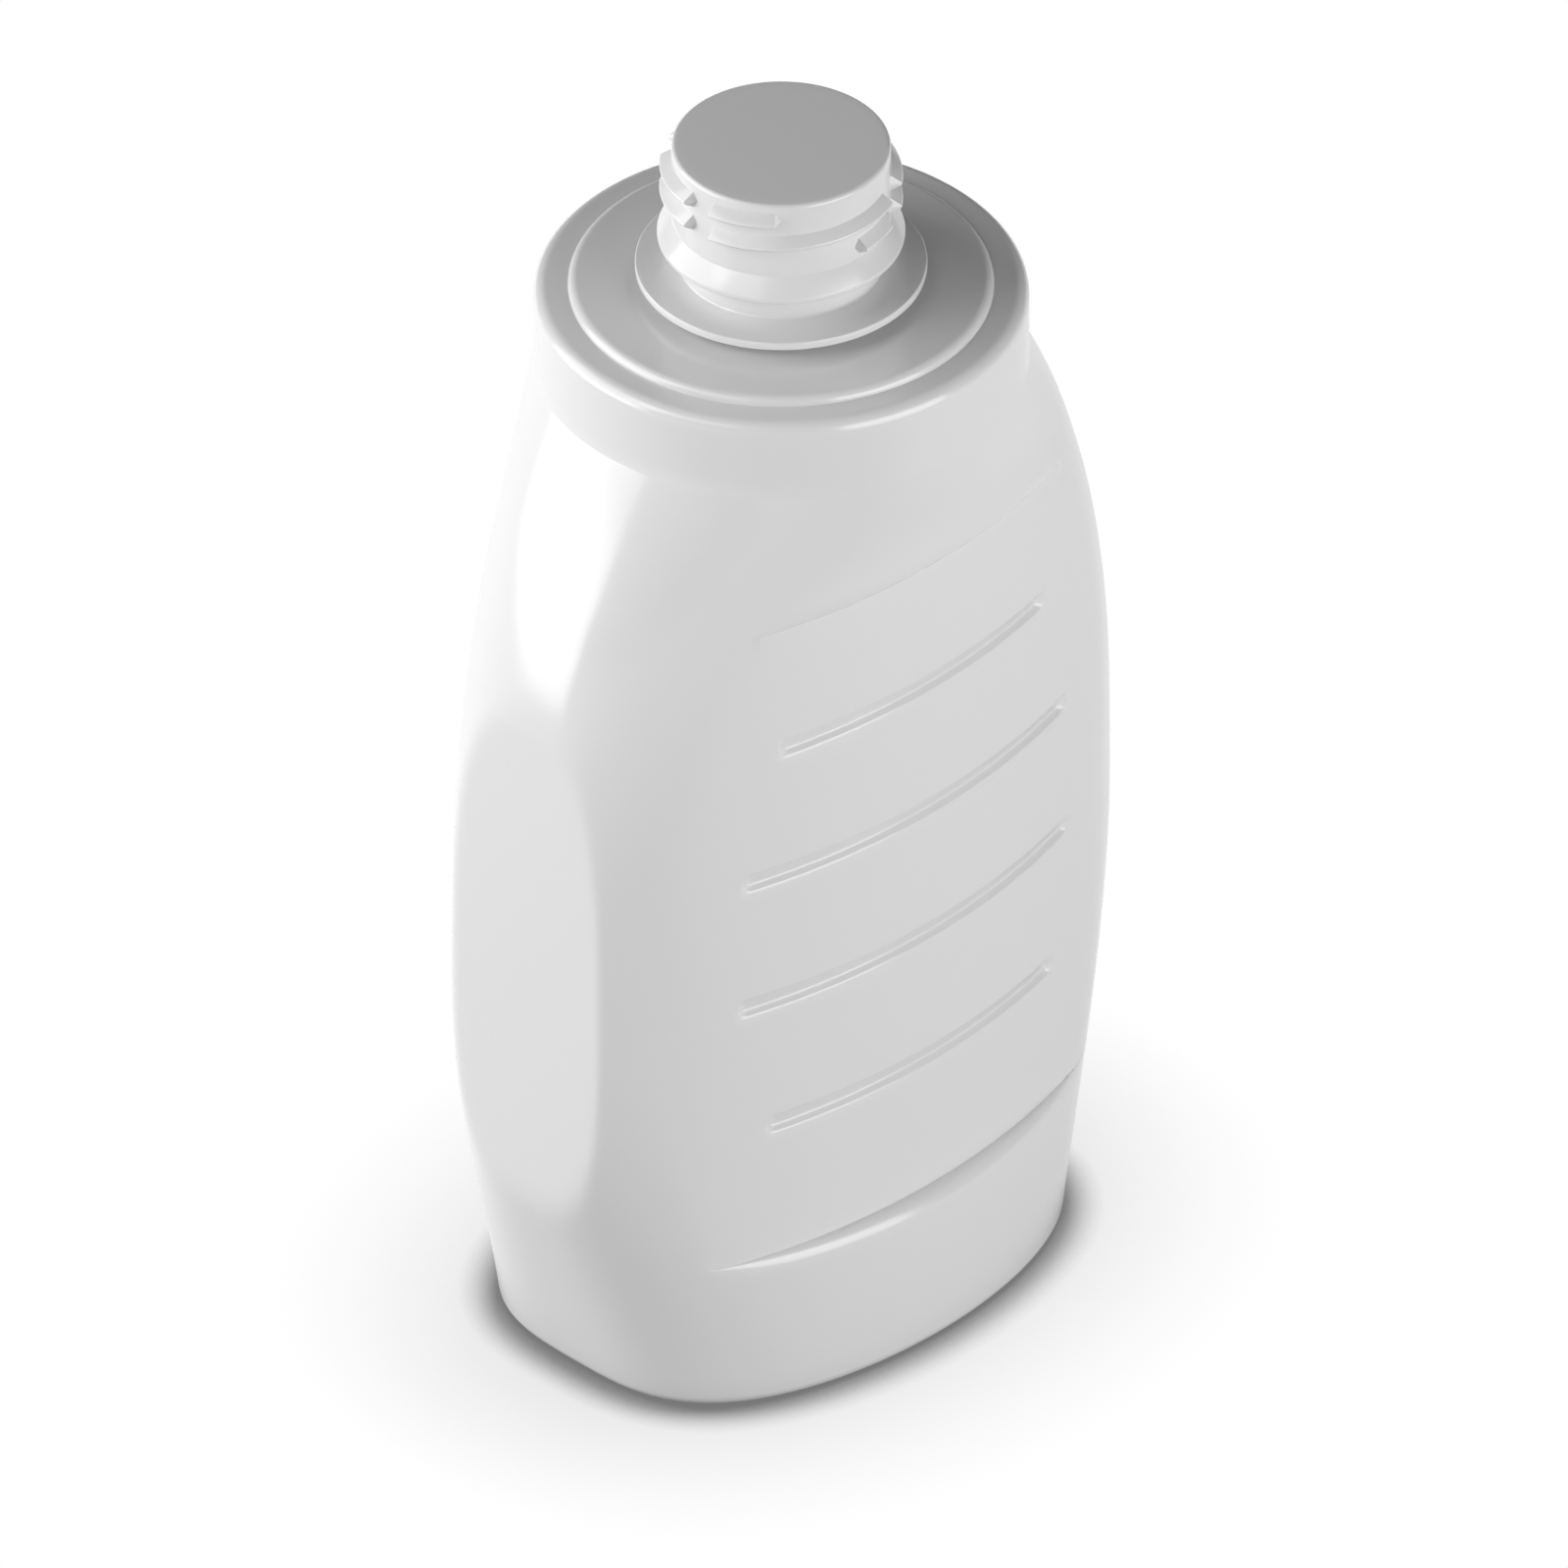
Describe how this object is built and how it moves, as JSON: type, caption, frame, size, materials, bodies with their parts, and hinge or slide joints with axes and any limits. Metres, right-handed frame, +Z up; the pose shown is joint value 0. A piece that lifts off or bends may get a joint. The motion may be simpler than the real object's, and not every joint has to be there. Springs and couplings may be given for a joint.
{
  "type": "squeeze bottle",
  "caption": "Blow-moulded squeeze bottle with a rounded rectangular barrel body, grooved grip panels, a round collar and a threaded neck sealed by a disc.",
  "frame": {"origin": "centre of the base, on the surface that the bottle stands on", "axes": "+Z up along the neck's axis, +X along the wide side, +Y to the back; the front grip panel faces -Y"},
  "size_m": [0.0812, 0.056, 0.1523],
  "materials": {
    "bottle": "gloss",
    "mouth_seal": "satin"
  },
  "bodies": {
    "root": {"bottle": "bottle", "mouth_seal": "mouth_seal"}
  },
  "joints": []
}
